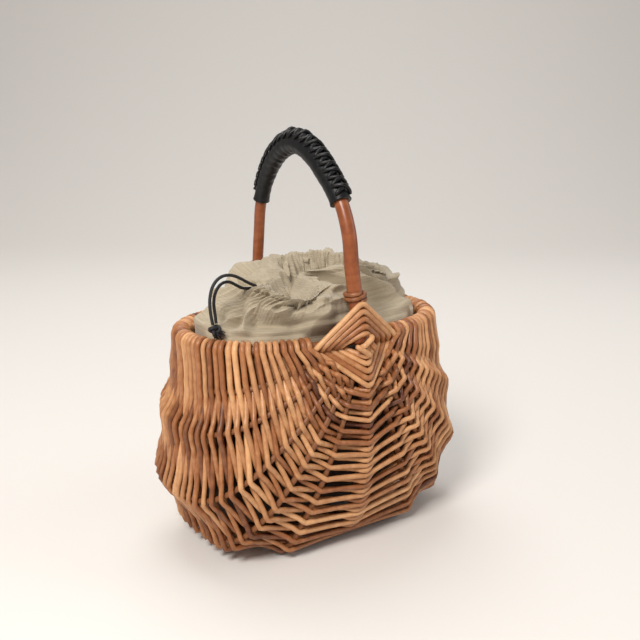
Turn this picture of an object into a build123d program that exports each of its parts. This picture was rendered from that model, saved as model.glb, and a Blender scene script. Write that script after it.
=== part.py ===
from build123d import *
import math
import os

# Oval rib basket with a round-over handle, a gathered cloth liner and its draw cord.
# The frame stands on z = 0 with the long side of the basket along X and the handle across Y.
# All sizes are millimetres.

# Basket body: outer face of the weaving at each height, from the floor to the rim.
# height, half length, half depth, squareness of the oval, lean of the wall in degrees
LEVELS = [
    (0.0, 78.0, 66.0, 3.6, 90.0),
    (9.0, 121.0, 76.0, 3.5, 60.0),
    (30.0, 136.0, 83.5, 3.4, 20.0),
    (62.0, 149.0, 94.0, 3.2, 5.0),
    (97.0, 150.0, 99.5, 3.1, 0.0),
    (132.0, 141.0, 101.5, 2.9, 0.0),
    (167.0, 133.0, 98.0, 2.6, 0.0),
    (189.5, 131.0, 84.5, 2.4, 0.0),
]
OVAL_POINTS = 24  # points that carry one oval outline
WALL_THICKNESS = 4.0  # the weaving that stands outside the ribs
STAKE_DEPTH = 8.0  # from the outer face to the centre line of the ribs

# Rim: a bent rod with the weaving wrapped over it
RIM_HEIGHT = 198.0
RIM_HALF_LENGTH = 125.0
RIM_HALF_DEPTH = 77.0
RIM_SQUARENESS = 2.4
RIM_ROD_RADIUS = 4.0
BORDER_RADIUS = 8.3
BORDER_POINTS = 13  # points that carry one end of the border

# Handle hoop: one bent rod that runs over the top and under the basket, in the plane x = HOOP_X.
HOOP_X = -5.0
FRONT_CROSSING = (-88.0, 198.0)  # y, z where the hoop crosses the rim
REAR_CROSSING = (87.5, 198.0)
HOOP_POINTS = [  # y, z of its centre line, from the front crossing over the top and round below
    FRONT_CROSSING,
    (-79.5, 237.0),
    (-69.5, 291.0),
    (-36.0, 340.0),
    (14.0, 364.5),
    (59.0, 336.0),
    (79.0, 280.0),
    (84.0, 237.0),
    REAR_CROSSING,
    (87.0, 165.0),
    (87.5, 120.0),
    (80.7, 62.0),
    (66.3, 24.0),
    (40.0, 12.0),
    (0.0, 10.8),
    (-40.0, 12.0),
    (-66.3, 24.0),
    (-80.7, 62.0),
    (-87.5, 120.0),
    (-87.0, 165.0),
]
HOOP_RADIUS = 6.0

# Ribs: bent rods in planes that turn about the line through both handle crossings.
RIB_ANGLES = [16.5, 29.0, 44.0, 57.0, 70.0]  # below the rim, in degrees
RIB_RADIUS = 2.5
RIB_START = 32.0  # distance of a rib's end from the crossing
RIB_POINTS = 13  # points from one end of a rib to its middle

# Diamond lashings at the two crossings of rim and hoop
LASHING_REACH = 40.0  # centre to corner
LASHING_TILT = 8.0
LASHING_OUTWARD = 10.5
LASHING_INWARD = 15.0
LASHING_ROUND = 3.0
LASHING_CLEARANCE = 0.3

# Leather sleeve round the grip, and the lacing that closes it along the outer side
SLEEVE_START, SLEEVE_END = 0.138, 0.333  # places along the hoop line
SLEEVE_END_RADIUS = 8.4
SLEEVE_MIDDLE_RADIUS = 10.0
LACING_RADIUS = 6.5
LACING_OFFSET = 8.6  # outwards from the rod's centre line
GRIP_SECTIONS = 11

# Cloth liner: a pouch inside the basket that rises above the rim to a drawn mouth
LINER_LEVELS = [  # height, half length, half depth, squareness, y of the middle
    (22.0, 66.0, 48.0, 3.4, 0.0),
    (30.0, 103.0, 55.0, 3.4, 0.0),
    (38.0, 117.0, 62.0, 3.3, 0.0),
    (62.0, 132.0, 72.0, 3.2, 0.0),
    (97.0, 134.0, 78.0, 3.1, 0.0),
    (132.0, 125.0, 79.0, 2.9, 0.0),
    (158.0, 118.0, 76.0, 2.7, 0.0),
    (198.0, 113.0, 67.5, 2.4, 0.0),
    (206.0, 111.0, 64.0, 2.3, 0.0),
    (222.0, 98.0, 54.0, 2.2, -4.0),
    (238.0, 62.0, 34.0, 2.0, -10.0),
]
LINER_CLOTH = 1.5
MOUTH_HEIGHT, MOUTH_HALF_LENGTH, MOUTH_HALF_DEPTH, MOUTH_SQUARENESS, MOUTH_Y = LINER_LEVELS[-1]
HEM_RADIUS = 3.2
CHANNEL_RADIUS = 1.7
CORD_RADIUS = 1.4
BEND_SHARE = 0.45  # share of its shorter run that each bend of the cord takes

# Draw cord: two strands that leave the hem's left end, arch over and hang to one knot
STRAND_A = [
    (-64.9, -12.0, 242.9),
    (-75.0, -15.0, 247.5),
    (-85.0, -20.0, 253.5),
    (-96.0, -23.0, 258.5),
    (-107.5, -25.5, 259.0),
    (-116.0, -27.0, 253.0),
    (-120.0, -28.0, 243.0),
    (-120.5, -28.5, 231.0),
    (-117.8, -28.0, 218.5),
]
STRAND_B = [
    (-65.4, -8.6, 240.6),
    (-75.5, -10.5, 241.0),
    (-85.5, -15.0, 246.0),
    (-95.5, -18.0, 252.0),
    (-105.0, -20.5, 251.5),
    (-111.5, -22.0, 245.0),
    (-114.0, -23.0, 235.0),
    (-113.0, -24.0, 226.0),
    (-113.6, -26.2, 218.5),
]
KNOT_CENTRE = (-115.5, -27.0, 213.0)
KNOT_RADII = (5.2, 4.2)  # middle and ends
KNOT_LENGTH = 10.0


def oval_points(half_length, half_depth, squareness, count=OVAL_POINTS):
    """Points of a squared oval, evenly turned, starting on +X."""
    points = []
    for step in range(count):
        turn = 2 * math.pi * step / count
        cos, sin = math.cos(turn), math.sin(turn)
        x = half_length * math.copysign(abs(cos) ** (2 / squareness), cos)
        y = half_depth * math.copysign(abs(sin) ** (2 / squareness), sin)
        points.append((x, y))
    return points


def border_points(side):
    """Points of the rim line from the rear lashing round one end of the basket to the front one."""
    end_share = (LASHING_REACH + LASHING_CLEARANCE + side * HOOP_X) / RIM_HALF_LENGTH
    end_turn = math.acos(end_share ** (RIM_SQUARENESS / 2))
    points = []
    for step in range(BORDER_POINTS):
        turn = end_turn * (1 - 2 * step / (BORDER_POINTS - 1))
        cos, sin = math.cos(turn), math.sin(turn)
        x = side * RIM_HALF_LENGTH * cos ** (2 / RIM_SQUARENESS)
        y = RIM_HALF_DEPTH * math.copysign(abs(sin) ** (2 / RIM_SQUARENESS), sin)
        points.append((x, y))
    return points


def inset_level(level, inset):
    """The oval that lies this far inside the wall's outer face: z, half length, half depth."""
    height, half_length, half_depth, _, lean = level
    across = inset * math.cos(math.radians(lean))
    up = inset * math.sin(math.radians(lean))
    return height + up, half_length - across, half_depth - across


def body_loft(inset):
    """Solid inside the basket body at a depth below its outer face."""
    with BuildPart() as body:
        for level in LEVELS:
            height, half_length, half_depth = inset_level(level, inset)
            with BuildSketch(Plane.XY.offset(height)):
                with BuildLine():
                    Spline(*oval_points(half_length, half_depth, level[3]), periodic=True)
                make_face()
        loft(ruled=True)
    return body.part


def closed_tube(outline, origin, radius, bore=0.0):
    """Round tube, hollow if it has a bore, that follows a closed level outline."""
    with BuildPart() as tube:
        with BuildLine(Plane(origin)) as line:
            Spline(*outline, periodic=True)
        with BuildSketch(Plane(line.line @ 0, z_dir=line.line % 0)):
            Circle(radius)
            if bore:
                Circle(bore, mode=Mode.SUBTRACT)
        sweep()
    return tube.part


def grip_tube(radius_at, outward=0.0):
    """Round tube along the grip, fuller or thinner by place, moved outwards if asked."""
    with BuildPart() as tube:
        for step in range(GRIP_SECTIONS):
            share = step / (GRIP_SECTIONS - 1)
            place = SLEEVE_START + (SLEEVE_END - SLEEVE_START) * share
            along = hoop_line % place
            away = Vector(0, -along.Z, along.Y)
            with BuildSketch(Plane(hoop_line @ place + away * outward, (1, 0, 0), along)):
                Circle(radius_at(share))
        loft()
    return tube.part


def rib_points(angle, side):
    """Points of one rib, from its front end round its middle to its rear end."""
    slope = math.radians(angle)
    rows = []
    for level in LEVELS:
        rows.append((*inset_level(level, STAKE_DEPTH), level[3]))
    rows.append((RIM_HEIGHT, RIM_HALF_LENGTH, RIM_HALF_DEPTH, RIM_SQUARENESS))

    def fullness(distance):
        """Where the rib plane meets the wall's middle: x share of the oval, and half depth."""
        x, z = distance * math.cos(slope), RIM_HEIGHT - distance * math.sin(slope)
        for low, high in zip(rows, rows[1:]):
            if low[0] <= z <= high[0]:
                mix = (z - low[0]) / (high[0] - low[0])
                length, depth, power = (low[k] + mix * (high[k] - low[k]) for k in (1, 2, 3))
                return x / length, depth, power
        return 1.0, 0.0, 2.0

    reach = RIB_START
    while fullness(reach)[0] < 1.0:
        reach += 0.25
    half = []
    for step in range(RIB_POINTS):
        turn = math.pi / 2 * step / (RIB_POINTS - 1)
        distance = RIB_START + (reach - RIB_START) * math.sin(turn)
        share, depth, power = fullness(distance)
        y = depth * max(0.0, 1.0 - min(share, 1.0) ** power) ** (1 / power)
        x = HOOP_X * (1 - distance / reach) + side * distance * math.cos(slope)
        half.append((x, -y, RIM_HEIGHT - distance * math.sin(slope)))
    half[-1] = (half[-1][0], 0.0, half[-1][2])
    return half + [(x, -y, z) for x, y, z in half[-2::-1]]


def corner_radii(points):
    """Largest even bends for a cord: each takes the same share of its shorter run."""
    radii = []
    for before, corner, after in zip(points, points[1:], points[2:]):
        run_in, run_out = Vector(*corner) - Vector(*before), Vector(*after) - Vector(*corner)
        turn = math.radians(run_in.get_angle(run_out))
        radii.append(BEND_SHARE * min(run_in.length, run_out.length) / math.tan(turn / 2))
    return radii


def cord_tube(points):
    """Cord of straight runs joined by round bends."""
    radii = corner_radii(points)
    with BuildPart() as tube:
        with BuildLine() as line:
            FilletPolyline(*points, radius=radii)
        with BuildSketch(Plane(line.line @ 0, z_dir=line.line % 0)):
            Circle(CORD_RADIUS)
        sweep()
    length = sum(edge.length for edge in line.edges())
    expected = math.pi * CORD_RADIUS**2 * length
    print("cord length", round(length, 1), "mm, bends", [round(radius, 1) for radius in radii])
    print("cord volume", round(tube.part.volume), "section times length", round(expected))
    return tube.part


def keep(solid, name):
    """Name a finished piece and write its file."""
    solid.label = name
    export_step(solid, f"parts/{name}.step")


os.makedirs("parts", exist_ok=True)

# Frame: rim hoop, handle hoop and ribs
rim_outline = oval_points(RIM_HALF_LENGTH, RIM_HALF_DEPTH, RIM_SQUARENESS)
rim_centre = (0, 0, RIM_HEIGHT)
with BuildPart() as rim_hoop:
    add(closed_tube(rim_outline, rim_centre, RIM_ROD_RADIUS))

with BuildPart() as handle_hoop:
    with BuildLine(Plane.YZ.offset(HOOP_X)) as hoop:
        Spline(*HOOP_POINTS, periodic=True)
    hoop_line = hoop.line
    with BuildSketch(Plane(hoop_line @ 0, z_dir=hoop_line % 0)):
        Circle(HOOP_RADIUS)
    sweep()

ribs = {}
for side_name, side in (("left", -1), ("right", 1)):
    for number, angle in enumerate(RIB_ANGLES, start=1):
        with BuildPart() as rib:
            with BuildLine() as rib_line:
                Spline(*rib_points(angle, side))
            with BuildSketch(Plane(rib_line.line @ 0, z_dir=rib_line.line % 0)):
                Circle(RIB_RADIUS)
            sweep()
        ribs[f"rib_{side_name}_{number}"] = rib.part

# Diamond lashings
lashings = {}
lean = math.radians(LASHING_TILT)
for name, crossing, side in (("front", FRONT_CROSSING, -1), ("rear", REAR_CROSSING, 1)):
    face = Plane(
        (HOOP_X, *crossing), (-side, 0, 0), (0, side * math.cos(lean), math.sin(lean))
    )
    with BuildPart() as lashing:
        with BuildSketch(face.offset(-LASHING_INWARD)):
            side_length = LASHING_REACH * math.sqrt(2)
            RectangleRounded(side_length, side_length, LASHING_ROUND, rotation=45)
        extrude(amount=LASHING_INWARD + LASHING_OUTWARD)
    lashings[name] = lashing.part

# Weaving: a skin outside the ribs and a border rolled over the rim, with room for each lashing
with BuildPart() as woven_wall:
    add(body_loft(0.0))
    add(body_loft(WALL_THICKNESS), mode=Mode.SUBTRACT)
    for block in lashings.values():
        add(block, mode=Mode.SUBTRACT)

with BuildPart() as rim_border:
    for side in (-1, 1):
        with BuildLine(Plane(rim_centre)) as border_line:
            Spline(*border_points(side))
        with BuildSketch(Plane(border_line.line @ 0, z_dir=border_line.line % 0)):
            Circle(BORDER_RADIUS)
            Circle(RIM_ROD_RADIUS, mode=Mode.SUBTRACT)
        sweep()

for name, block in lashings.items():
    with BuildPart() as fitted:
        add(block)
        for frame_piece in (rim_hoop.part, handle_hoop.part, *ribs.values()):
            add(frame_piece, mode=Mode.SUBTRACT)
    lashings[name] = fitted.part


def sleeve_radius(share):
    """Outer radius of the leather: fuller in the middle of the grip."""
    return SLEEVE_END_RADIUS + (SLEEVE_MIDDLE_RADIUS - SLEEVE_END_RADIUS) * math.sin(math.pi * share)


# Grip: leather sleeve and its lacing
with BuildPart() as grip_sleeve:
    add(grip_tube(sleeve_radius))
    add(handle_hoop.part, mode=Mode.SUBTRACT)

with BuildPart() as grip_lacing:
    add(grip_tube(lambda share: LACING_RADIUS, LACING_OFFSET))
    add(grip_tube(sleeve_radius), mode=Mode.SUBTRACT)


def liner_loft(thickness):
    """Solid inside the liner's outer face, moved in by a thickness."""
    with BuildPart() as pouch:
        for height, half_length, half_depth, squareness, y in LINER_LEVELS:
            bottom = height == LINER_LEVELS[0][0]
            with BuildSketch(Plane.XY.offset(height + (thickness if bottom else 0.0))):
                with BuildLine():
                    outline = oval_points(half_length - thickness, half_depth - thickness, squareness)
                    Spline(*[(px, py + y) for px, py in outline], periodic=True)
                make_face()
        loft(ruled=True)
    return pouch.part


mouth_outline = oval_points(MOUTH_HALF_LENGTH, MOUTH_HALF_DEPTH, MOUTH_SQUARENESS)
mouth_centre = (0, MOUTH_Y, MOUTH_HEIGHT + HEM_RADIUS)
with BuildPart() as liner_bag:
    add(liner_loft(0.0))
    add(liner_loft(LINER_CLOTH), mode=Mode.SUBTRACT)

with BuildPart() as liner_hem:
    add(closed_tube(mouth_outline, mouth_centre, HEM_RADIUS, CHANNEL_RADIUS))

# Draw cord: the loop inside the hem, its two free strands and their knot
with BuildPart() as drawcord_hem_loop:
    add(closed_tube(mouth_outline, mouth_centre, CORD_RADIUS))

with BuildPart() as drawcord_knot:
    with BuildSketch(Plane.XY.offset(KNOT_CENTRE[2] - KNOT_LENGTH / 2)):
        with Locations(KNOT_CENTRE[:2]):
            Circle(KNOT_RADII[1])
    with BuildSketch(Plane.XY.offset(KNOT_CENTRE[2])):
        with Locations(KNOT_CENTRE[:2]):
            Circle(KNOT_RADII[0])
    with BuildSketch(Plane.XY.offset(KNOT_CENTRE[2] + KNOT_LENGTH / 2)):
        with Locations(KNOT_CENTRE[:2]):
            Circle(KNOT_RADII[1])
    loft()

keep(rim_hoop.part, "rim_hoop")
keep(handle_hoop.part, "handle_hoop")
for name, rib_part in ribs.items():
    keep(rib_part, name)
keep(lashings["front"], "front_diamond_lashing")
keep(lashings["rear"], "rear_diamond_lashing")
keep(woven_wall.part, "woven_wall")
keep(rim_border.part, "rim_border")
keep(grip_sleeve.part, "grip_sleeve")
keep(grip_lacing.part, "grip_lacing")
keep(liner_bag.part, "liner_bag")
keep(liner_hem.part, "liner_hem")
keep(drawcord_hem_loop.part, "drawcord_hem_loop")
keep(cord_tube(STRAND_A), "drawcord_strand_a")
keep(cord_tube(STRAND_B), "drawcord_strand_b")
keep(drawcord_knot.part, "drawcord_knot")
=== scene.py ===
import math
import random

import bmesh
import bpy
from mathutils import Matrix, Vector, noise


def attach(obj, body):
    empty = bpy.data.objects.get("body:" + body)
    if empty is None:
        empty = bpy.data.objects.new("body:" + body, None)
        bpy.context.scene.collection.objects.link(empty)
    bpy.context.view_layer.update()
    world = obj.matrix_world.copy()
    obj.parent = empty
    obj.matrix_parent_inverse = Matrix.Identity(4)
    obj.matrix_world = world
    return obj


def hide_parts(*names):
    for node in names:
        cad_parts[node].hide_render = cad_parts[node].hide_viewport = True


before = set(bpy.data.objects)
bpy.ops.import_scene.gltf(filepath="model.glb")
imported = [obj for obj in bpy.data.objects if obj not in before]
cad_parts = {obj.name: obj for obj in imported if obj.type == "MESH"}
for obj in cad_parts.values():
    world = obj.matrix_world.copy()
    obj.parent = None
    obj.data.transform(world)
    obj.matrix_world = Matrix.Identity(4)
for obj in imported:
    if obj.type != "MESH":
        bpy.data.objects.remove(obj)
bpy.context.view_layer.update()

# Rib basket bag: woven willow on bent ribs, a rod handle in laced leather, a gathered cloth liner.
# Shapes are worked out in millimetres and scaled to metres when a piece is made.
# The stage, the lights and the camera are in metres.
MM = 0.001

# Basket body, outer face of the weaving: height, half length, half depth, squareness, lean in degrees
LEVELS = [
    (0.0, 78.0, 66.0, 3.6, 90.0),
    (9.0, 121.0, 76.0, 3.5, 60.0),
    (30.0, 136.0, 83.5, 3.4, 20.0),
    (62.0, 149.0, 94.0, 3.2, 5.0),
    (97.0, 150.0, 99.5, 3.1, 0.0),
    (132.0, 141.0, 101.5, 2.9, 0.0),
    (167.0, 133.0, 98.0, 2.6, 0.0),
]
STAKE_DEPTH = 7.6  # how far inside that face the rows' stakes run
RIM_HEIGHT = 198.0
RIM_LENGTH, RIM_DEPTH, RIM_SQUARENESS = 125.0, 77.0, 2.4
RIM_ROD = 4.0
BODY_MIDDLE = 105.0  # height that the rows' outward direction turns about
BOTTOM_TURN = 60.0  # below this height that direction tips down
HOOP_X = -5.0
RIB_ANGLES = [14.5, 29.0, 44.0, 57.0, 70.0]  # degrees below the rim
RIB_ROD = 2.5
SPINE_ROD = 5.0

# Handle hoop centre line, (y, z): over the top from front to rear, then below from rear to front
ARCH = [
    (-88.0, 198.0), (-79.5, 237.0), (-73.5, 265.0), (-69.5, 291.0), (-57.5, 317.5), (-36.0, 340.0),
    (-12.0, 357.8), (14.0, 364.5), (41.0, 354.0), (61.0, 333.0), (75.0, 304.0), (79.5, 275.0),
    (83.5, 240.0), (87.5, 198.0),
]
SPINE = [
    (-88.0, 198.0), (-92.0, 165.0), (-94.5, 130.0), (-92.5, 97.0), (-86.5, 62.0), (-76.5, 32.0),
    (-62.0, 15.0), (-40.0, 10.8), (0.0, 10.4), (40.0, 10.8), (62.0, 15.0), (76.5, 32.0),
    (86.5, 62.0), (92.5, 97.0), (94.0, 130.0), (91.5, 165.0), (87.5, 198.0),
]
ARCH_FRONT, ARCH_REAR = 7.0, 5.2  # radius of the hoop at its two crossings with the rim

# Weaving
WEAVER = 2.45  # radius of a woven rod
ROWS = 42  # passes from rim to rim on the front, and as many on the rear
ROW_JITTER = 0.6  # how far a row strays along a stake
ROW_PRESS = 0.96  # share of a row's radius that stands off the stake
ROW_STEPS = (0.0, 0.09, 0.24, 0.5, 0.76, 0.91)  # places of a row's points between two stakes

# Diamond lashings
LASH_REACH = 40.0  # from the middle to a corner
LASH_TURNS = 5
LASH_START = 11.0
LASH_PITCH = 6.6
LASH_ROD = 2.45
LASH_SHIFT_UP, LASH_SHIFT_DOWN = 1.2, -2.2  # along the rim, of the upper and the lower half turns
LASH_SINK = 0.6  # how much closer the lower half turns lie
LASH_FRONT = 3.2  # of the middle strips, in front of the hoop
COIL_STEPS, COIL_TURNS = 14, 2
COIL_DROP, COIL_PITCH = 2.5, 3.9
COIL_ROD = 1.9
LASH_MIDDLE = [  # short strips over the middle: x, z to x, z, and how far forward
    (-9.0, -1.0, 2.0, -8.5, 0.0), (4.0, 1.0, 8.0, -3.5, 0.0), (-4.5, 0.5, 3.5, 6.5, 1.2),
]

# The liner's cloth map, in metres: height of one ring, and where the painted shade on the cloth inside
# the basket ends
CLOTH_RING = 0.0028
SHADED_UP_TO, LIT_FROM = 0.0208, 0.0235


# ---------------------------------------------------------------- materials

def group(name, inputs, outputs):
    """A shader node group with named sockets: returns it with its input and output nodes."""
    tree = bpy.data.node_groups.new(name, "ShaderNodeTree")
    for label, kind, value in inputs:
        socket = tree.interface.new_socket(label, in_out="INPUT", socket_type=kind)
        socket.default_value = value
    for label, kind in outputs:
        tree.interface.new_socket(label, in_out="OUTPUT", socket_type=kind)
    return tree, tree.nodes.new("NodeGroupInput"), tree.nodes.new("NodeGroupOutput")


def node(tree, kind, **values):
    """A shader node with its settings and input values."""
    made = tree.nodes.new(kind)
    for key, value in values.items():
        if key in made.inputs:
            made.inputs[key].default_value = value
        else:
            setattr(made, key, value)
    return made


def ramp(tree, stops):
    """A colour ramp through (place, colour) stops."""
    made = tree.nodes.new("ShaderNodeValToRGB")
    points = made.color_ramp.elements
    points[0].position, points[0].color = stops[0]
    points[1].position, points[1].color = stops[-1]
    for place, colour in stops[1:-1]:
        points.new(place).color = colour
    return made


def rod_grain_group():
    """Grain that runs along a rod: fine streaks, slow colour drift and rod-to-rod tone."""
    tree, entry, leave = group(
        "rod_grain",
        [("Streak scale", "NodeSocketFloat", 1.0), ("Tone spread", "NodeSocketFloat", 1.0)],
        [("Tone", "NodeSocketFloat"), ("Streak", "NodeSocketFloat"), ("Height", "NodeSocketFloat")],
    )
    link = tree.links.new
    along = node(tree, "ShaderNodeAttribute", attribute_name="along")
    tone = node(tree, "ShaderNodeAttribute", attribute_name="tone")
    turn = node(tree, "ShaderNodeAttribute", attribute_name="around")
    where = node(tree, "ShaderNodeCombineXYZ")
    link(along.outputs["Fac"], where.inputs["X"])
    link(turn.outputs["Fac"], where.inputs["Y"])
    link(tone.outputs["Fac"], where.inputs["Z"])
    stretch = node(tree, "ShaderNodeMapping")
    stretch.inputs["Scale"].default_value = (9.0, 2.6, 37.0)
    link(where.outputs["Vector"], stretch.inputs["Vector"])
    streaks = node(tree, "ShaderNodeTexNoise", Scale=1.0, Detail=5.0, Roughness=0.62)
    link(stretch.outputs["Vector"], streaks.inputs["Vector"])
    slow = node(tree, "ShaderNodeMapping")
    slow.inputs["Scale"].default_value = (16.0, 0.35, 91.0)
    link(where.outputs["Vector"], slow.inputs["Vector"])
    drift = node(tree, "ShaderNodeTexNoise", Scale=1.0, Detail=2.0, Roughness=0.5)
    link(slow.outputs["Vector"], drift.inputs["Vector"])
    spread = node(tree, "ShaderNodeMath", operation="MULTIPLY")
    link(tone.outputs["Fac"], spread.inputs[0])
    link(entry.outputs["Tone spread"], spread.inputs[1])
    drifted = node(tree, "ShaderNodeMath", operation="MULTIPLY_ADD")
    drifted.inputs[1].default_value = 0.55
    link(drift.outputs["Fac"], drifted.inputs[0])
    link(spread.outputs[0], drifted.inputs[2])
    streaked = node(tree, "ShaderNodeMath", operation="MULTIPLY_ADD")
    streaked.inputs[1].default_value = 0.3
    link(streaks.outputs["Fac"], streaked.inputs[0])
    link(drifted.outputs[0], streaked.inputs[2])
    shifted = node(tree, "ShaderNodeMath", operation="SUBTRACT", use_clamp=True)
    shifted.inputs[1].default_value = 0.42
    link(streaked.outputs[0], shifted.inputs[0])
    link(shifted.outputs[0], leave.inputs["Tone"])
    fine = node(tree, "ShaderNodeMath", operation="MULTIPLY")
    link(streaks.outputs["Fac"], fine.inputs[0])
    link(entry.outputs["Streak scale"], fine.inputs[1])
    link(fine.outputs[0], leave.inputs["Streak"])
    link(streaks.outputs["Fac"], leave.inputs["Height"])
    return tree


def principled(name):
    """A new material, its node tree and its shader."""
    made = bpy.data.materials.new(name)
    made.use_nodes = True
    return made, made.node_tree, made.node_tree.nodes["Principled BSDF"]


def rod_material(name, dark, middle, light, rough, bump, grain):
    """Stripped willow: tone by rod, grain along it, a soft waxy gloss."""
    made, tree, shader = principled(name)
    link = tree.links.new
    streaks = node(tree, "ShaderNodeGroup", node_tree=grain)
    colours = ramp(tree, [(0.0, (*dark, 1)), (0.42, (*middle, 1)), (1.0, (*light, 1))])
    link(streaks.outputs["Tone"], colours.inputs["Fac"])
    link(colours.outputs["Color"], shader.inputs["Base Color"])
    gloss = node(tree, "ShaderNodeMapRange")
    gloss.inputs["To Min"].default_value = rough - 0.08
    gloss.inputs["To Max"].default_value = rough + 0.12
    link(streaks.outputs["Streak"], gloss.inputs["Value"])
    link(gloss.outputs["Result"], shader.inputs["Roughness"])
    relief = node(tree, "ShaderNodeBump", Strength=bump, Distance=0.0004)
    link(streaks.outputs["Height"], relief.inputs["Height"])
    link(relief.outputs["Normal"], shader.inputs["Normal"])
    shader.inputs["Specular IOR Level"].default_value = 0.45
    return made


def leather_material(name, colour, rough, scale):
    """Black leather: pebbled grain, fine creases, worn sheen."""
    made, tree, shader = principled(name)
    link = tree.links.new
    place = node(tree, "ShaderNodeTexCoord")
    pebbles = node(tree, "ShaderNodeTexVoronoi", Scale=scale)
    creases = node(tree, "ShaderNodeTexNoise", Scale=scale * 0.22, Detail=6.0, Roughness=0.6)
    link(place.outputs["Object"], pebbles.inputs["Vector"])
    link(place.outputs["Object"], creases.inputs["Vector"])
    mixed = node(tree, "ShaderNodeMath", operation="MULTIPLY_ADD")
    mixed.inputs[1].default_value = 0.4
    link(pebbles.outputs["Distance"], mixed.inputs[0])
    link(creases.outputs["Fac"], mixed.inputs[2])
    relief = node(tree, "ShaderNodeBump", Strength=0.35, Distance=0.0004)
    link(mixed.outputs[0], relief.inputs["Height"])
    link(relief.outputs["Normal"], shader.inputs["Normal"])
    tint = ramp(tree, [(0.3, (*colour, 1)), (0.8, (*[c * 2.6 for c in colour], 1))])
    link(creases.outputs["Fac"], tint.inputs["Fac"])
    link(tint.outputs["Color"], shader.inputs["Base Color"])
    gloss = node(tree, "ShaderNodeMapRange")
    gloss.inputs["To Min"].default_value = rough - 0.1
    gloss.inputs["To Max"].default_value = rough + 0.14
    link(creases.outputs["Fac"], gloss.inputs["Value"])
    link(gloss.outputs["Result"], shader.inputs["Roughness"])
    shader.inputs["Specular IOR Level"].default_value = 0.34
    return made


def linen_material(name, dark, light):
    """Beige linen: a plain weave on the cloth's own map, slubs, and painted shade on the cloth inside
    the basket.
    """
    made, tree, shader = principled(name)
    link = tree.links.new
    cloth = node(tree, "ShaderNodeUVMap", uv_map="cloth")
    threads = []
    for direction in ("X", "Y"):
        wave = node(tree, "ShaderNodeTexWave", wave_type="BANDS", bands_direction=direction)
        wave.inputs["Scale"].default_value = 420.0
        wave.inputs["Distortion"].default_value = 1.2
        wave.inputs["Detail"].default_value = 1.0
        link(cloth.outputs["UV"], wave.inputs["Vector"])
        threads.append(wave)
    woven = node(tree, "ShaderNodeMath", operation="ADD")
    link(threads[0].outputs["Fac"], woven.inputs[0])
    link(threads[1].outputs["Fac"], woven.inputs[1])
    slubs = node(tree, "ShaderNodeTexNoise", Scale=38.0, Detail=5.0, Roughness=0.65)
    stretch = node(tree, "ShaderNodeMapping")
    stretch.inputs["Scale"].default_value = (1.0, 7.0, 1.0)
    link(cloth.outputs["UV"], stretch.inputs["Vector"])
    link(stretch.outputs["Vector"], slubs.inputs["Vector"])
    shade = node(tree, "ShaderNodeMath", operation="MULTIPLY_ADD")
    shade.inputs[1].default_value = 0.22
    link(woven.outputs[0], shade.inputs[0])
    link(slubs.outputs["Fac"], shade.inputs[2])
    colours = ramp(tree, [(0.35, (*dark, 1)), (0.95, (*light, 1))])
    link(shade.outputs[0], colours.inputs["Fac"])
    # Painted shade: below the rim, inside the basket, the cloth's colour is mixed to near black-brown
    # to stand in for the shadow it lies in.
    height = node(tree, "ShaderNodeSeparateXYZ")
    link(cloth.outputs["UV"], height.inputs["Vector"])
    painted_shade_mask = node(tree, "ShaderNodeMapRange")
    painted_shade_mask.inputs["From Min"].default_value = SHADED_UP_TO
    painted_shade_mask.inputs["From Max"].default_value = LIT_FROM
    link(height.outputs["Y"], painted_shade_mask.inputs["Value"])
    painted_shade_mix = node(tree, "ShaderNodeMix", data_type="RGBA")
    painted_shade_mix.inputs[6].default_value = (0.035, 0.018, 0.010, 1)
    link(painted_shade_mask.outputs["Result"], painted_shade_mix.inputs["Factor"])
    link(colours.outputs["Color"], painted_shade_mix.inputs[7])
    link(painted_shade_mix.outputs[2], shader.inputs["Base Color"])
    relief = node(tree, "ShaderNodeBump", Strength=0.4, Distance=0.0004)
    link(shade.outputs[0], relief.inputs["Height"])
    link(relief.outputs["Normal"], shader.inputs["Normal"])
    shader.inputs["Roughness"].default_value = 0.9
    shader.inputs["Specular IOR Level"].default_value = 0.2
    shader.inputs["Sheen Weight"].default_value = 0.25
    shader.inputs["Sheen Roughness"].default_value = 0.5
    return made


def cord_material(name, colour):
    """Black braided cord."""
    made, tree, shader = principled(name)
    link = tree.links.new
    place = node(tree, "ShaderNodeTexCoord")
    braid = node(tree, "ShaderNodeTexWave", wave_type="BANDS", bands_direction="DIAGONAL")
    braid.inputs["Scale"].default_value = 420.0
    braid.inputs["Distortion"].default_value = 2.0
    link(place.outputs["Object"], braid.inputs["Vector"])
    relief = node(tree, "ShaderNodeBump", Strength=0.6, Distance=0.0003)
    link(braid.outputs["Fac"], relief.inputs["Height"])
    link(relief.outputs["Normal"], shader.inputs["Normal"])
    tint = ramp(tree, [(0.0, (*colour, 1)), (1.0, (*[c * 3.0 for c in colour], 1))])
    link(braid.outputs["Fac"], tint.inputs["Fac"])
    link(tint.outputs["Color"], shader.inputs["Base Color"])
    shader.inputs["Roughness"].default_value = 0.6
    return made


def stage_material(name, colour):
    """Matt painted backdrop."""
    made, _, shader = principled(name)
    shader.inputs["Base Color"].default_value = (*colour, 1)
    shader.inputs["Roughness"].default_value = 0.85
    return made


# ---------------------------------------------------------------- curves and meshes

def power(value, exponent):
    """Signed power."""
    return math.copysign(abs(value) ** exponent, value)


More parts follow.
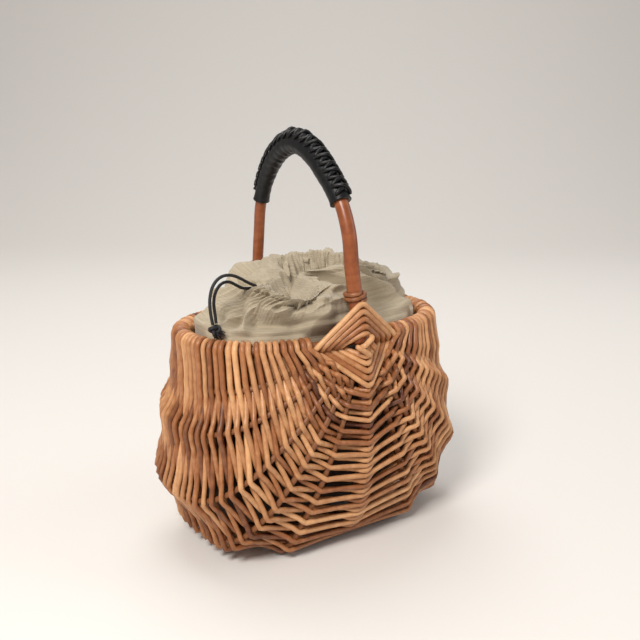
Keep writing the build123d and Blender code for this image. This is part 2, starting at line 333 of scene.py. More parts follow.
def spline_through(points, steps):
    """Points of a smooth line through the given points, with this many steps in each gap."""
    line = []
    last = len(points) - 1
    for i in range(last):
        a, b, c, d = (Vector(points[max(0, min(last, i + k))]) for k in (-1, 0, 1, 2))
        for step in range(steps):
            t = step / steps
            line.append(
                0.5 * (2 * b + (c - a) * t + (2 * a - 5 * b + 4 * c - d) * t * t
                       + (3 * b - 3 * c + d - a) * t * t * t)
            )
    line.append(Vector(points[-1]))
    return line


def hoop_line(places, steps):
    """A smooth line in the plane of the handle hoop, through (y, z) places."""
    return spline_through([(HOOP_X, y, z) for y, z in places], steps)


class Track:
    """A line that can be read at a distance from its start."""

    def __init__(self, points):
        self.points = [Vector(p) for p in points]
        self.marks = [0.0]
        for a, b in zip(self.points, self.points[1:]):
            self.marks.append(self.marks[-1] + (b - a).length)
        self.length = self.marks[-1]

    def at(self, distance):
        """Point at a distance, held between the line's ends."""
        distance = max(0.0, min(self.length, distance))
        low, high = 0, len(self.marks) - 1
        while high - low > 1:
            middle = (low + high) // 2
            if self.marks[middle] <= distance:
                low = middle
            else:
                high = middle
        gap = self.marks[high] - self.marks[low]
        share = (distance - self.marks[low]) / gap if gap else 0
        return self.points[low].lerp(self.points[high], share)

    def along(self, distance):
        """Direction at a distance."""
        return (self.at(distance + 0.5) - self.at(distance - 0.5)).normalized()

    def where(self, test):
        """First distance at which the test holds."""
        for mark, point in zip(self.marks, self.points):
            if test(point):
                return mark
        return self.length


def rod_mesh(points, radius, tone, sides=8, smooth=1, pointed=False):
    """One round rod along a line through the points, as a mesh with grain attributes.

    The radius is a number, or a function of the share of the line's points passed.
    """
    line = spline_through(points, smooth) if smooth > 1 else [Vector(p) for p in points]
    last = len(line) - 1
    corners, faces = [], []
    across = None
    for i, point in enumerate(line):
        ahead = (line[min(last, i + 1)] - line[max(0, i - 1)]).normalized()
        if across is None:
            across = ahead.orthogonal()
        across = (across - ahead * across.dot(ahead)).normalized()
        beside = ahead.cross(across)
        size = radius(i / last) if callable(radius) else radius
        if i in (0, last):
            size *= 0.4 if pointed else 0.85
        for step in range(sides):
            turn = 2 * math.pi * step / sides
            corners.append(point + (across * math.cos(turn) + beside * math.sin(turn)) * size)
    for i in range(last):
        for step in range(sides):
            after = (step + 1) % sides
            near, far = i * sides, (i + 1) * sides
            faces.append((near + step, near + after, far + after, far + step))
    faces.append(tuple(range(sides))[::-1])
    faces.append(tuple(range(last * sides, (last + 1) * sides)))
    mesh = bpy.data.meshes.new("rod")
    mesh.from_pydata(corners, [], faces)
    marks = Track(line).marks
    along = mesh.attributes.new("along", "FLOAT", "POINT")
    around = mesh.attributes.new("around", "FLOAT", "POINT")
    tones = mesh.attributes.new("tone", "FLOAT", "POINT")
    numbers = range(len(corners))
    along.data.foreach_set("value", [marks[i // sides] * 0.01 for i in numbers])
    around.data.foreach_set("value", [abs((i % sides) / sides - 0.5) * 8.0 for i in numbers])
    tones.data.foreach_set("value", [tone] * len(corners))
    return mesh


def rounded(points, cut):
    """The same line with its corners rounded off."""
    corners = [Vector(p) for p in points]
    line = [corners[0]]
    for before, corner, after in zip(corners, corners[1:], corners[2:]):
        back, ahead = before - corner, after - corner
        start = corner + back.normalized() * min(cut, back.length * 0.45)
        end = corner + ahead.normalized() * min(cut, ahead.length * 0.45)
        for step in range(5):
            t = step / 4
            line.append(start * (1 - t) ** 2 + corner * 2 * t * (1 - t) + end * t**2)
    line.append(corners[-1])
    return line


def joined(name, meshes, material):
    """One object from many meshes, scaled to metres."""
    form = bmesh.new()
    for mesh in meshes:
        form.from_mesh(mesh)
        bpy.data.meshes.remove(mesh)
    bmesh.ops.scale(form, vec=(MM, MM, MM), verts=form.verts)
    whole = bpy.data.meshes.new(name)
    form.to_mesh(whole)
    form.free()
    for face in whole.polygons:
        face.use_smooth = True
    whole.materials.append(material)
    made = bpy.data.objects.new(name, whole)
    bpy.context.scene.collection.objects.link(made)
    return made


def finish_piece(piece, slot_name, *nodes):
    """Give a piece its body and hide the CAD nodes that it stands for; slot_name is not used."""
    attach(piece, "root")
    if nodes:
        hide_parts(*nodes)
    return piece


# ---------------------------------------------------------------- basket body

def body_rows():
    """Middle of the wall at each height, from the floor up to the rim."""
    rows = []
    for height, length, depth, squareness, lean in LEVELS:
        across = STAKE_DEPTH * math.cos(math.radians(lean))
        up = STAKE_DEPTH * math.sin(math.radians(lean))
        rows.append((height + up, length - across, depth - across, squareness))
    rows.append((RIM_HEIGHT, RIM_LENGTH, RIM_DEPTH, RIM_SQUARENESS))
    return rows


BODY_ROWS = body_rows()


def body_at(z):
    """Half length, half depth and squareness of the wall's middle at a height."""
    z = max(BODY_ROWS[0][0], min(RIM_HEIGHT, z))
    for i in range(len(BODY_ROWS) - 1):
        low, high = BODY_ROWS[i], BODY_ROWS[i + 1]
        if low[0] <= z <= high[0]:
            before = BODY_ROWS[max(0, i - 1)]
            after = BODY_ROWS[min(len(BODY_ROWS) - 1, i + 2)]
            t = (z - low[0]) / (high[0] - low[0])
            values = []
            for k in (1, 2, 3):
                gap = high[0] - low[0]
                rise_low = (high[k] - before[k]) / max(1e-6, high[0] - before[0]) * gap
                rise_high = (after[k] - low[k]) / max(1e-6, after[0] - low[0]) * gap
                values.append(
                    low[k] * (2 * t**3 - 3 * t**2 + 1) + rise_low * (t**3 - 2 * t**2 + t)
                    + high[k] * (3 * t**2 - 2 * t**3) + rise_high * (t**3 - t**2)
                )
            return values
    return BODY_ROWS[-1][1:]


def stake_line(angle, side, end):
    """One rib from the crossing at an end of the handle to the basket's middle, as a track."""
    slope = math.radians(angle)

    def share(distance):
        z = RIM_HEIGHT - distance * math.sin(slope)
        if z < BODY_ROWS[0][0]:
            return 2.0
        return distance * math.cos(slope) / body_at(z)[0]

    reach = 20.0
    while share(reach) < 1.0:
        reach += 0.2
    points = []
    for step in range(61):
        turn = math.pi / 2 * (step / 60)
        distance = reach * math.sin(turn)
        z = RIM_HEIGHT - distance * math.sin(slope)
        depth, squareness = body_at(z)[1:]
        y = depth * max(0.0, 1 - min(1.0, share(distance)) ** squareness) ** (1 / squareness)
        x = HOOP_X * (1 - distance / reach) + side * distance * math.cos(slope)
        points.append((x, end * y, z))
    points[-1] = (points[-1][0], 0.0, points[-1][2])
    return Track(points)


def rim_line(side, end):
    """A quarter of the rim from a handle crossing to the basket's end."""
    points = []
    for step in range(81):
        turn = math.pi / 2 * step / 80
        x = side * RIM_LENGTH * power(math.sin(turn), 2 / RIM_SQUARENESS)
        y = end * RIM_DEPTH * power(math.cos(turn), 2 / RIM_SQUARENESS)
        if side * (x - HOOP_X) >= 0:
            points.append((x, y, RIM_HEIGHT))
    return Track(points)


def spine_line(end):
    """Half of the hoop below the rim, from a handle crossing to the middle of the bottom."""
    line = hoop_line(SPINE, 8)
    if end > 0:
        line = line[::-1]
    return Track(line[: len(line) // 2 + 1])


def outward_normal(point):
    """Away from the inside of the basket: a smooth field that suits every stake."""
    centre = Vector((HOOP_X * 0.5 + (point.x - HOOP_X) * 0.45, point.y * 0.35, BODY_MIDDLE))
    centre.z = BODY_MIDDLE + (point.z - BODY_MIDDLE) * 0.3
    away = point - centre
    if point.z < BOTTOM_TURN:
        away.z -= (BOTTOM_TURN - point.z) * 0.35
    return away.normalized()


def stakes_of(end):
    """All stakes that the rows of one end cross, from the left rim to the right rim."""
    found = [("rim", rim_line(-1, end), RIM_ROD)]
    for angle in RIB_ANGLES:
        found.append(("rib", stake_line(angle, -1, end), RIB_ROD))
    found.append(("spine", spine_line(end), SPINE_ROD))
    for angle in reversed(RIB_ANGLES):
        found.append(("rib", stake_line(angle, 1, end), RIB_ROD))
    found.append(("rim", rim_line(1, end), RIM_ROD))
    return found


def start_of(track):
    """Where the rows begin on a stake: the edge of the diamond lashing."""
    def outside(point):
        return abs(point.x - HOOP_X) + abs(point.z - RIM_HEIGHT) > LASH_REACH + 1.0
    return track.where(outside)


def weave(end, seed):
    """Rows of one end: each runs over and under the stakes from the left rim to the right rim."""
    dice = random.Random(seed)
    stakes = stakes_of(end)
    starts = [start_of(track) for _, track, _ in stakes]
    last = len(stakes) - 1
    rods = []
    for row in range(ROWS):
        thick = WEAVER * dice.uniform(0.9, 1.06)
        crossings = []
        for i, (kind, track, rod) in enumerate(stakes):
            jitter = dice.uniform(-ROW_JITTER, ROW_JITTER)
            share = (row + 0.5) / ROWS
            if kind == "rim":
                share = (row // 2 * 2 + (0.5 if row % 2 == 0 else 1.5)) / ROWS
            place = starts[i] + (track.length - starts[i]) * share + jitter
            point = track.at(place)
            step_out = min(5, abs(i - last // 2))
            sign = 1 if kind == "spine" or (step_out + row) % 2 == 0 else -1
            if kind == "rim":
                away = Vector((point.x / RIM_LENGTH**2, point.y / RIM_DEPTH**2, 0)).normalized()
            else:
                away = outward_normal(point)
            crossings.append((point, away, sign, rod + thick * ROW_PRESS))
        path = rim_turn(crossings[0])
        for i, (a, b) in enumerate(zip(crossings, crossings[1:])):
            for t in ROW_STEPS[1:] if i == 0 else ROW_STEPS:
                path.append(between(a, b, t))
        path += rim_turn(crossings[-1])[::-1]
        shade = min(1.0, max(0.0, dice.gauss(0.5, 0.24)))

        def radius(share, thick=thick):
            return thick * (0.94 + 0.17 * abs(2 * share - 1) ** 1.5)

        rods.append(rod_mesh(path, radius, shade))
    return rods


def between(a, b, t):
    """Place of a row between two stakes: if the side changes, it changes halfway."""
    point_a, away_a, sign_a, off_a = a
    point_b, away_b, sign_b, off_b = b
    if sign_a == sign_b:
        lift = sign_a * (off_a * (1 - t) + off_b * t - 0.7 * math.sin(math.pi * t))
    else:
        lift = sign_a * (off_a if t < 0.5 else off_b) * math.cos(math.pi * t) ** 3
    return point_a.lerp(point_b, t) + away_a.lerp(away_b, t).normalized() * lift


def rim_turn(crossing):
    """End of a row at the rim: it goes over the top from outside, or ends beside the rod inside."""
    point, away, sign, offset = crossing
    up = Vector((0, 0, 1))
    if sign < 0:
        return [point - away * offset + up * 4.0, point - away * offset - up * 1.0]
    turned = [point - away * offset - up * 8.0, point - away * offset - up * 3.0]
    for step in range(8):
        turn = math.pi * (1 - step / 7)
        turned.append(point + away * offset * math.cos(turn) + up * offset * math.sin(turn))
    return turned


# ---------------------------------------------------------------- diamond lashing

def lashing(end, seed):
    """Rods laid square over the arms of a crossing, strips over its middle, a coil on the handle."""
    dice = random.Random(seed)
    hoop_up = Track(hoop_line(ARCH if end < 0 else ARCH[::-1], 6))
    hoop_down = spine_line(end)
    hoop_rod = ARCH_FRONT if end < 0 else ARCH_REAR
    right, left = rim_line(1, end), rim_line(-1, end)
    front, up = Vector((0, end, 0)), Vector((0, 0, 1))
    rods = []
    for turn in range(LASH_TURNS):
        reach = LASH_START + LASH_PITCH * turn
        for half in (1, -1):
            thick = LASH_ROD * dice.uniform(0.95, 1.05)
            beside = RIM_ROD + thick
            shift = LASH_SHIFT_UP if half > 0 else LASH_SHIFT_DOWN
            near, far = left.at(reach + shift), right.at(reach + shift)
            if half > 0:
                top = hoop_up.at(reach) + front * (hoop_rod + thick)
                over, under = front * beside, -up * beside
            else:
                top = hoop_down.at(reach) + front * (hoop_rod + thick - LASH_SINK)
                over = front * (beside * 0.35) - up * (beside * 0.8)
                under = -front * beside * 0.5 - up * beside * 0.7
            path = rounded([
                near - front * beside, near + under, near + over, top, far + over, far + under,
                far - front * beside,
            ], 5.0)
            rods.append(rod_mesh(path, thick, dice.uniform(0.35, 0.95), sides=12))
    middle = Vector((HOOP_X, hoop_down.points[0].y, RIM_HEIGHT)) + front * (hoop_rod + LASH_FRONT)
    for x, z, to_x, to_z, lift in LASH_MIDDLE:  # their ends dip back into the diamond
        start = middle + Vector((x, 0, z)) + front * lift
        stop = middle + Vector((to_x, 0, to_z)) + front * lift
        outward = (stop - start).normalized() * 1.5
        path = rounded([start - outward - front * 3, start, stop, stop + outward - front * 3], 1.8)
        rods.append(rod_mesh(path, LASH_ROD, dice.uniform(0.5, 0.95), sides=12))
    coil = []
    for step in range(COIL_TURNS * COIL_STEPS + 1):
        turn = 2 * math.pi * step / COIL_STEPS
        place = hoop_up.at(LASH_REACH - COIL_DROP + COIL_PITCH * step / COIL_STEPS)
        away = front * math.cos(turn) + Vector((math.sin(turn), 0, 0))
        coil.append(place + away * (hoop_rod + 1.6) + up * 1.4 * math.sin(turn))
    rods.append(rod_mesh(coil, COIL_ROD, 0.25, sides=10))
    return rods


# ---------------------------------------------------------------- handle

def handle_meshes():
    """The hoop: tapered rod over the top, thinner rod below, with small natural swellings."""
    def arch_radius(share):
        swell = 0.25 * noise.noise(Vector((share * 14, 3.1, 0)))
        return ARCH_FRONT + (ARCH_REAR - ARCH_FRONT) * share + swell

    above = rod_mesh(hoop_line(ARCH, 3), arch_radius, 0.45, sides=16, smooth=2)
    below = rod_mesh(hoop_line(SPINE, 2), SPINE_ROD, 0.35, sides=10, smooth=2)
    return [above, below]


GRIP = Track(hoop_line(ARCH, 10))
GRIP_START = GRIP.where(lambda point: point.z > 316.0)
GRIP_END = GRIP.where(lambda point: point.y > 74.0)
GRIP_LENGTH = GRIP_END - GRIP_START
UNDER_GRIP = Vector((HOOP_X, 5, 270))  # a place well inside the hoop
SLEEVE_RINGS, SLEEVE_SIDES = 220, 40
LACE_PITCH = 8.3
LACE_INSET = 4
LACE_RADIUS = 1.75


def grip_frame(distance):
    """Centre, outward and sideways at a place on the grip."""
    centre, sideways = GRIP.at(distance), Vector((1, 0, 0))
    outward = sideways.cross(GRIP.along(distance))
    if outward.dot(centre - UNDER_GRIP) < 0:
        outward = -outward
    return centre, outward, sideways


def sleeve_radius(share):
    """Leather radius: full in the middle, thinner at the rear, flared at both cut ends."""
    base = 9.0 + 1.2 * math.sin(math.pi * min(1, share * 1.1)) - 1.6 * share
    flare = 0.9 * (math.exp(-share / 0.02) + math.exp(-(1 - share) / 0.02))
    return base + flare


def sleeve_mesh():
    """Leather wrapped round the rod, with creases on its inner side."""
    form = bmesh.new()
    sides = SLEEVE_SIDES
    loops = []
    for ring in range(SLEEVE_RINGS):
        share = ring / (SLEEVE_RINGS - 1)
        centre, outward, sideways = grip_frame(GRIP_START + GRIP_LENGTH * share)
        loop = []
        for step in range(sides):
            turn = 2 * math.pi * step / sides
            inner = max(0.0, -math.cos(turn))
            crease = 0.0
            if inner > 0:
                wave = noise.noise(Vector((share * 34, math.sin(turn) * 1.2, 1.7)))
                fine = math.sin(share * 130 + 2.5 * noise.noise(Vector((share * 20, turn, 0))))
                strength = 0.25 + 0.9 * math.exp(-((share - 0.62) / 0.25) ** 2)
                crease = inner * strength * (0.35 * wave + 0.42 * fine)
            lump = 0.3 * noise.noise(Vector((share * 12, math.cos(turn), math.sin(turn))))
            radius = sleeve_radius(share) + crease + lump
            offset = outward * math.cos(turn) * radius + sideways * math.sin(turn) * radius
            loop.append(form.verts.new(centre + offset))
        loops.append(loop)
    for first, second in zip(loops, loops[1:]):
        for step in range(sides):
            after = (step + 1) % sides
            form.faces.new((first[step], first[after], second[after], second[step]))
    for loop, distance in ((loops[0], GRIP_START + 1.0), (loops[-1], GRIP_END - 1.0)):
        centre = GRIP.at(distance)
        lip = [form.verts.new(centre + (v.co - centre) * 0.66) for v in loop]
        for step in range(sides):
            after = (step + 1) % sides
            form.faces.new((loop[step], lip[step], lip[after], loop[after]))
        form.faces.new(lip)
    bmesh.ops.recalc_face_normals(form, faces=form.faces)
    made = bpy.data.meshes.new("sleeve")
    form.to_mesh(made)
    form.free()
    return made


def lacing_meshes():
    """Two laces that cross over the outer side again and again."""
    count = int((GRIP_LENGTH - 2 * LACE_INSET) / LACE_PITCH)
    made = []
    for hand in (-1, 1):
        path = []
        for number in range(count):
            side = hand if number % 2 == 0 else -hand
            distance = GRIP_START + LACE_INSET + number * LACE_PITCH
            radius = sleeve_radius((distance - GRIP_START) / GRIP_LENGTH)
            for step, turn, lift in (
                (0.0, 0.86, 0.9), (0.2, 0.52, 2.0), (0.5, 0.0, 3.0 if hand > 0 else 1.8),
                (0.8, -0.52, 2.0),
            ):
                centre, outward, sideways = grip_frame(distance + step * LACE_PITCH)
                angle = turn * side
                way = outward * math.cos(angle) + sideways * math.sin(angle)
                over = 1.5 if (number + (hand > 0)) % 2 and step == 0.5 else 0.0
                path.append(centre + way * (radius + lift + over))
        made.append(rod_mesh(path, LACE_RADIUS, 0.5, sides=10, smooth=3))
    return made


# ---------------------------------------------------------------- liner

# Inside the basket up to just above the rim: height, half length, half depth, squareness
LINER_ROWS = [
    (24.0, 64.0, 46.0, 3.2), (31.0, 100.0, 54.0, 3.3), (38.0, 112.0, 60.0, 3.3),
    (62.0, 127.0, 70.0, 3.2), (97.0, 130.0, 76.0, 3.1), (132.0, 122.0, 77.0, 2.9),
    (158.0, 115.0, 74.0, 2.7), (180.0, 112.0, 69.0, 2.5), (198.0, 112.0, 66.0, 2.4),
    (205.0, 113.0, 66.0, 2.3),
]
LINER_FLAT = (0.70, 0.34)  # metres: round the pouch, and from its seam to the drawn edge
LINER_RINGS = 64  # from the rim to the drawn edge
LINER_SIDES = 900
PLEATS = 140
BROAD_FOLD, SHARP_FOLD, VALLEY_DEPTH, LOBE_HEIGHT, CREASE_DEPTH = 15.0, 26.0, 34.0, 13.0, 10.0
# Deep creases: place at the drawn edge, drift on the way down, width
CREASES = [
    (0.015, 0.05, 0.008), (0.055, 0.055, 0.011), (0.1, 0.05, 0.013), (0.16, 0.02, 0.014),
    (0.385, 0.05, 0.012), (0.43, 0.03, 0.012), (0.555, 0.03, 0.015), (0.63, -0.03, 0.014),
    (0.71, 0.02, 0.016), (0.79, -0.02, 0.014), (0.87, 0.03, 0.014), (0.93, -0.03, 0.011),
    (0.975, -0.05, 0.009),
]
# Inner facing of the drawn edge: how far down and how far in
INNER_LIP = [(-0.6, 1.6), (1.8, 3.0), (8.0, 6.0), (15.0, 10.0), (24.0, 14.0), (34.0, 17.0)]
LIP_SPAN, LIP_TURN = 17, 9  # steps either way: to smooth its line, and to read its direction
# Drawn edge: place round the liner from the cord's exit, then x, y, z
HEM = [
    (0.0, -61.0, -12.0, 242.0), (0.05, -65.0, -34.0, 243.0), (0.11, -61.0, -60.0, 240.0),
    (0.16, -46.0, -68.0, 238.0), (0.21, -31.0, -60.0, 240.0), (0.255, -20.0, -42.0, 243.0),
    (0.295, -13.0, -19.0, 246.0), (0.33, 1.0, 4.0, 247.0), (0.36, 11.0, -6.0, 248.0),
    (0.4, 33.0, -8.0, 250.0), (0.435, 50.0, -14.0, 249.0), (0.465, 68.0, -13.0, 247.0),
    (0.495, 76.0, -22.0, 240.0), (0.54, 74.0, 2.0, 248.0), (0.6, 64.0, 30.0, 252.0),
    (0.66, 48.0, 44.0, 254.0), (0.73, 26.0, 48.0, 255.0), (0.8, 2.0, 46.0, 254.0),
    (0.86, -12.0, 38.0, 251.0), (0.91, -18.0, 22.0, 246.0), (0.955, -38.0, 6.0, 242.0),
]


def hem_line(count):
    """The drawn edge of the liner, point by point round from the cord's exit."""
    closed = HEM[-3:] + HEM + HEM[:3]
    places = [hem[0] - 1 for hem in HEM[-3:]]
    places += [hem[0] for hem in HEM]
    places += [hem[0] + 1 for hem in HEM[:3]]
    line = []
    for step in range(count):
        u = step / count
        k = max(i for i, place in enumerate(places) if place <= u)
        t = (u - places[k]) / (places[k + 1] - places[k])
        a, b, c, d = (Vector(closed[k + shift][1:]) for shift in (-1, 0, 1, 2))
        line.append(
            0.5 * (2 * b + (c - a) * t + (2 * a - 5 * b + 4 * c - d) * t**2
                   + (3 * b - 3 * c + d - a) * t**3)
        )
    return line


def liner_mesh():
    """Cloth pouch: along the inside of the basket, over the rim, up in soft folds to the drawn edge."""
    form = bmesh.new()
    sides = LINER_SIDES
    hem = hem_line(sides)
    loops = []
    for height, length, depth, squareness in LINER_ROWS:
        loop = []
        for step in range(sides):
            turn = math.pi + 2 * math.pi * step / sides
            across, deep = math.cos(turn), math.sin(turn)
            x, y = power(across, 2 / squareness), power(deep, 2 / squareness)
            ripple = 1.2 * noise.noise(Vector((across * 5, deep * 5, height * 0.01)))
            loop.append(Vector((x * (length + ripple), y * (depth + ripple), height)))
        loops.append(loop)
    rim = loops[-1]
    for ring in range(1, LINER_RINGS + 1):
        t = ring / LINER_RINGS
        loop = []
        for step in range(sides):
            u = step / sides
            turn = math.pi + 2 * math.pi * u
            across, deep = math.cos(turn), math.sin(turn)
            low, high = rim[step], hem[step]
            point = low.lerp(high, t**1.25)
            point.z = low.z + (high.z - low.z) * math.sin(math.pi / 2 * t) ** 0.85
            away = Vector((across, deep * 1.3, 0.5)).normalized()
            band = 2.4 * math.exp(-((t - 0.09) / 0.05) ** 2)
            band -= 1.6 * math.exp(-((t - 0.2) / 0.05) ** 2)
            place = Vector((across * 2.1, deep * 2.1, t * 1.7))
            broad = noise.noise(place) + 0.55 * noise.noise(place * 2.3 + Vector((3, 1, 5)))
            sharp = abs(noise.noise(place * 1.5 + Vector((9, 2, 0)))) - 0.22
            belly = math.sin(math.pi * min(1.0, t * 0.9 + 0.05))
            drawn = math.exp(-(min(u, 1 - u) / 0.11) ** 2)
            valley = math.exp(-((u - 0.322) / 0.028) ** 2)
            valley += 0.4 * math.exp(-((u - 0.47) / 0.02) ** 2)
            crease = 0.0
            for at, drift, wide in CREASES:
                crease += math.exp(-(((u - at - drift * (1 - t)) / (wide * (1.6 - 0.8 * t))) ** 2))
            hem_roll = 2.8 * math.sin(math.pi * max(0.0, t - 0.84) / 0.16)
            hem_roll -= 1.4 * math.exp(-((t - 0.82) / 0.02) ** 2)
            lobe = math.exp(-((u - 0.245) / 0.04) ** 2)
            pleat = math.sin(2 * math.pi * PLEATS * u + 2.0 * noise.noise(Vector((u * 30, t * 2, 0))))
            ruffle = noise.noise(Vector((across * 13, deep * 13, t * 1.2)))
            fold = (
                belly * (BROAD_FOLD * broad - SHARP_FOLD * sharp - VALLEY_DEPTH * valley
                         + LOBE_HEIGHT * lobe - CREASE_DEPTH * crease)
                + band + hem_roll
                + ((0.7 + 1.5 * drawn) * pleat + 6.0 * ruffle) * t**1.7
            )
            loop.append(point + away * fold)
        loops.append(loop)
    lip = loops[-1]
    smoothed = [lip[(i + LIP_SPAN) % sides].lerp(lip[i - LIP_SPAN], 0.5) for i in range(sides)]
    for drop, inset in INNER_LIP:
        loop = []
        for i, point in enumerate(lip):
            tangent = (lip[(i + LIP_TURN) % sides] - lip[i - LIP_TURN]).normalized()
            inner = Vector((0, 0, 1)).cross(tangent).normalized()
            round_x = math.cos(2 * math.pi * i / sides)
            crumple = noise.noise(Vector((round_x * 9, i * 0.02, drop * 0.1)))
            sunk = Vector((0, 0, drop - crumple * inset * 0.9))
            loop.append(smoothed[i].lerp(point, 0.9) + inner * inset - sunk)
        loops.append(loop)
    rings = [[form.verts.new(point) for point in loop] for loop in loops]
    sheet_map = form.loops.layers.uv.new("cloth")
    for ring, (first, second) in enumerate(zip(rings, rings[1:])):
        for step in range(sides):
            after = (step + 1) % sides
            face = form.faces.new((first[step], first[after], second[after], second[step]))
            for corner, (u, v) in zip(
                face.loops, ((step, ring), (step + 1, ring), (step + 1, ring + 1), (step, ring + 1))
            ):
                corner[sheet_map].uv = (u / sides * LINER_FLAT[0], v * CLOTH_RING)
    form.faces.new(rings[0][::-1])
    made = bpy.data.meshes.new("liner")
    form.to_mesh(made)
    form.free()
    return made


# ---------------------------------------------------------------- draw cord

STRAND_A = [
    (-64.9, -12.0, 242.9), (-75.0, -15.0, 247.5), (-85.0, -20.0, 253.5), (-96.0, -23.0, 258.5),
    (-107.5, -25.5, 259.0), (-116.0, -27.0, 253.0), (-120.0, -28.0, 243.0), (-120.5, -28.5, 231.0),
    (-117.8, -28.0, 218.5),
]
STRAND_B = [
    (-65.4, -8.6, 240.6), (-75.5, -10.5, 241.0), (-85.5, -15.0, 246.0), (-95.5, -18.0, 252.0),
    (-105.0, -20.5, 251.5), (-111.5, -22.0, 245.0), (-114.0, -23.0, 235.0), (-113.0, -24.0, 226.0),
    (-113.6, -26.2, 218.5),
]
CORD_RADIUS = 1.4
KNOT = Vector((-115.5, -27.0, 213.0))
KNOT_STEPS = 40
KNOT_RADIUS = 1.6
FRAYS, FRAY_RADIUS = 26, 0.5


def cord_piece(name, route, material):
    """One strand of the draw cord as a smooth line through its route."""
    curve = bpy.data.curves.new(name, "CURVE")
    curve.dimensions = "3D"
    curve.bevel_depth = CORD_RADIUS * MM
    curve.bevel_resolution = 4
    curve.resolution_u = 12
    curve.use_fill_caps = True
    spline = curve.splines.new("NURBS")
    spline.points.add(len(route) - 1)
    for control, point in zip(spline.points, route):
        control.co = (*(Vector(point) * MM), 1.0)
    spline.order_u = 3
    spline.use_endpoint_u = True
    curve.materials.append(material)
    made = bpy.data.objects.new(name, curve)
    bpy.context.scene.collection.objects.link(made)
    return made


def knot_meshes():
    """A small round knot of the same cord, with frayed ends."""
    dice = random.Random(5)
    made = []
    turns = []
    for step in range(KNOT_STEPS):
        t = 2 * math.pi * step / (KNOT_STEPS - 1)
        x = (math.sin(t) + 2 * math.sin(2 * t)) * 1.5
        y = (math.cos(t) - 2 * math.cos(2 * t)) * 1.5
        z = -math.sin(3 * t) * 2.0
        turns.append(KNOT + Vector((x, z, y)))
    made.append(rod_mesh(turns, KNOT_RADIUS, 0.5, smooth=2))
    for _ in range(FRAYS):
        aim = Vector((dice.uniform(-0.3, 1.6), dice.uniform(-0.9, 0.3), dice.uniform(-1.6, -0.2)))
        start = KNOT + aim.normalized() * 2.5
        tip = start + aim.normalized() * dice.uniform(4.0, 8.5)
        middle = (start + tip) / 2 + Vector((0, 0, dice.uniform(-0.8, 0.8)))
        made.append(rod_mesh([start, middle, tip], FRAY_RADIUS, 0.5, sides=4, smooth=2, pointed=True))
    return made


# ---------------------------------------------------------------- build

grain = rod_grain_group()
willow = rod_material(
    "buff_willow", (0.075, 0.018, 0.007), (0.34, 0.125, 0.043), (0.70, 0.38, 0.175), 0.38, 0.35, grain
)
rib_willow = rod_material(
    "rib_willow", (0.24, 0.09, 0.033), (0.42, 0.18, 0.07), (0.55, 0.27, 0.11), 0.45, 0.3, grain
)
handle_wood = rod_material(
    "handle_willow", (0.055, 0.013, 0.006), (0.25, 0.068, 0.022), (0.46, 0.17, 0.062), 0.3, 0.25, grain
)
leather = leather_material("sleeve_leather", (0.0035, 0.0035, 0.0038), 0.36, 900.0)
lace_leather = leather_material("lace_leather", (0.0025, 0.0025, 0.0028), 0.38, 1100.0)
linen = linen_material("liner_linen", (0.25, 0.20, 0.13), (0.50, 0.425, 0.31))
black_cord = cord_material("black_cord", (0.006, 0.006, 0.007))

for name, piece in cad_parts.items():
    if name.startswith("rib_") or name == "rim_hoop":
        piece.data.materials.clear()
        piece.data.materials.append(rib_willow)

front_rows = joined("front_rows", weave(-1, 11), willow)
finish_piece(front_rows, "willow_weaving", "woven_wall", "rim_border")
rear_rows = joined("rear_rows", weave(1, 23), willow)
finish_piece(rear_rows, "willow_weaving")

front_lashing = joined("front_lashing", lashing(-1, 3), willow)
finish_piece(front_lashing, "willow_weaving", "front_diamond_lashing")
rear_lashing = joined("rear_lashing", lashing(1, 4), willow)
finish_piece(rear_lashing, "willow_weaving", "rear_diamond_lashing")

handle = joined("handle_rod", handle_meshes(), handle_wood)
finish_piece(handle, "handle_rod", "handle_hoop")
sleeve = joined("grip_leather", [sleeve_mesh()], leather)
finish_piece(sleeve, "sleeve_leather", "grip_sleeve")
laces = joined("grip_laces", lacing_meshes(), lace_leather)
finish_piece(laces, "lacing_leather", "grip_lacing")

liner = joined("liner_cloth", [liner_mesh()], linen)
finish_piece(liner, "liner_cloth", "liner_bag", "liner_hem", "drawcord_hem_loop")

strand_a = cord_piece("cord_strand_a", STRAND_A, black_cord)
strand_b = cord_piece("cord_strand_b", STRAND_B, black_cord)
knot = joined("cord_knot", knot_meshes(), black_cord)
finish_piece(strand_a, "draw_cord", "drawcord_strand_a")
finish_piece(strand_b, "draw_cord", "drawcord_strand_b")
finish_piece(knot, "draw_cord", "drawcord_knot")


# ---------------------------------------------------------------- stage, light, camera

FLOOR_AHEAD, FLOOR_ASIDE = Vector((0.576, 0.817, 0)), Vector((0.817, -0.576, 0))
BEND_START, BEND_RADIUS, BEND_STEPS = 1.5, 1.5, 16
WALL_TOP = 5.0
FLOOR_SIDES = (-7.0, 0.0, 7.0)


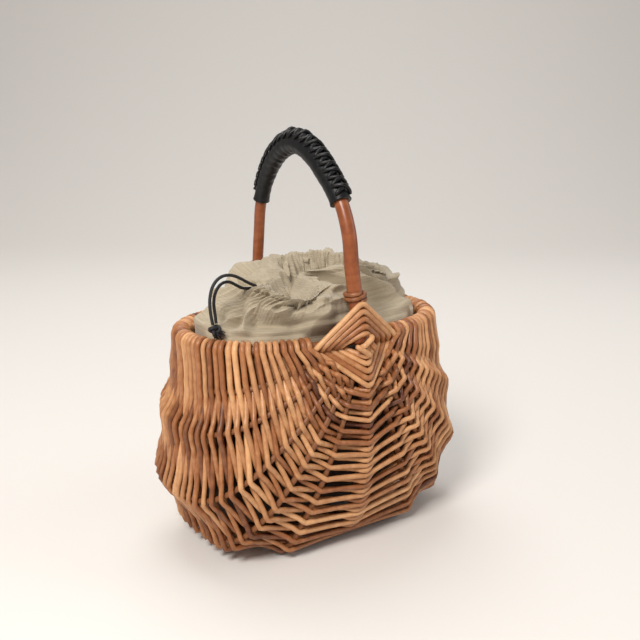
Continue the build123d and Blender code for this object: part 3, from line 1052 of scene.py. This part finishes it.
def backdrop():
    """Floor that curves up into a wall far behind."""
    form = bmesh.new()
    profile = [(-5.0, 0.0), (-2.0, 0.0), (BEND_START, 0.0)]
    for step in range(1, BEND_STEPS + 1):
        turn = math.pi / 2 * step / BEND_STEPS
        far = BEND_START + BEND_RADIUS * math.sin(turn)
        profile.append((far, BEND_RADIUS - BEND_RADIUS * math.cos(turn)))
    profile.append((BEND_START + BEND_RADIUS, WALL_TOP))
    rows = []
    for far, high in profile:
        middle = FLOOR_AHEAD * far
        rows.append(
            [form.verts.new(middle + FLOOR_ASIDE * side + Vector((0, 0, high))) for side in FLOOR_SIDES]
        )
    for first, second in zip(rows, rows[1:]):
        for k in (0, 1):
            form.faces.new((first[k], first[k + 1], second[k + 1], second[k])).smooth = True
    made_mesh = bpy.data.meshes.new("floor")
    form.to_mesh(made_mesh)
    form.free()
    made_mesh.materials.append(stage_material("floor_paint", (0.76, 0.73, 0.695)))
    made = bpy.data.objects.new("floor", made_mesh)
    bpy.context.scene.collection.objects.link(made)
    return made


def area_light(name, place, aim, size, power_watts, colour):
    """A round area light at a place, turned to an aim."""
    lamp = bpy.data.lights.new(name, "AREA")
    lamp.shape = "DISK"
    lamp.size = size
    lamp.energy = power_watts
    lamp.color = colour
    made = bpy.data.objects.new(name, lamp)
    made.location = place
    made.rotation_euler = (Vector(aim) - Vector(place)).to_track_quat("-Z", "Y").to_euler()
    bpy.context.scene.collection.objects.link(made)
    return made


LIGHTS = [  # name, place, aim, size, watts, colour
    ("key", (-1.1, -0.7, 1.4), (0, 0, 0.15), 0.6, 29.0, (1.0, 0.97, 0.93)),
    ("fill", (1.6, -0.9, 1.0), (0, 0, 0.15), 1.4, 8.0, (0.96, 0.98, 1.0)),
    ("top", (0.2, 0.8, 1.9), (0, 0, 0.1), 1.4, 14.0, (1.0, 1.0, 1.0)),
    ("wall", (0.5, 0.7, 2.2), (1.9, 2.7, 0.8), 1.6, 13.0, (1.0, 0.99, 0.97)),
]
WORLD_COLOUR, WORLD_STRENGTH = (0.86, 0.84, 0.82, 1), 0.42
CAMERA_PLACE, CAMERA_AIM = (-0.4694, -0.6844, 0.4120), (0.5584, 0.7916, -0.2481)
CAMERA_SENSOR, CAMERA_LENS = 36.0, 50.6  # millimetres

backdrop()
for light in LIGHTS:
    area_light(*light)

world = bpy.data.worlds.new("studio")
world.use_nodes = True
background = world.node_tree.nodes["Background"]
background.inputs["Color"].default_value = WORLD_COLOUR
background.inputs["Strength"].default_value = WORLD_STRENGTH
bpy.context.scene.world = world
bpy.context.scene.view_settings.view_transform = "Standard"

camera_data = bpy.data.cameras.new("camera")
camera_data.sensor_width = CAMERA_SENSOR
camera_data.lens = CAMERA_LENS
camera = bpy.data.objects.new("camera", camera_data)
camera.location = CAMERA_PLACE
camera.rotation_euler = Vector(CAMERA_AIM).to_track_quat("-Z", "Y").to_euler()
bpy.context.scene.collection.objects.link(camera)
bpy.context.scene.camera = camera
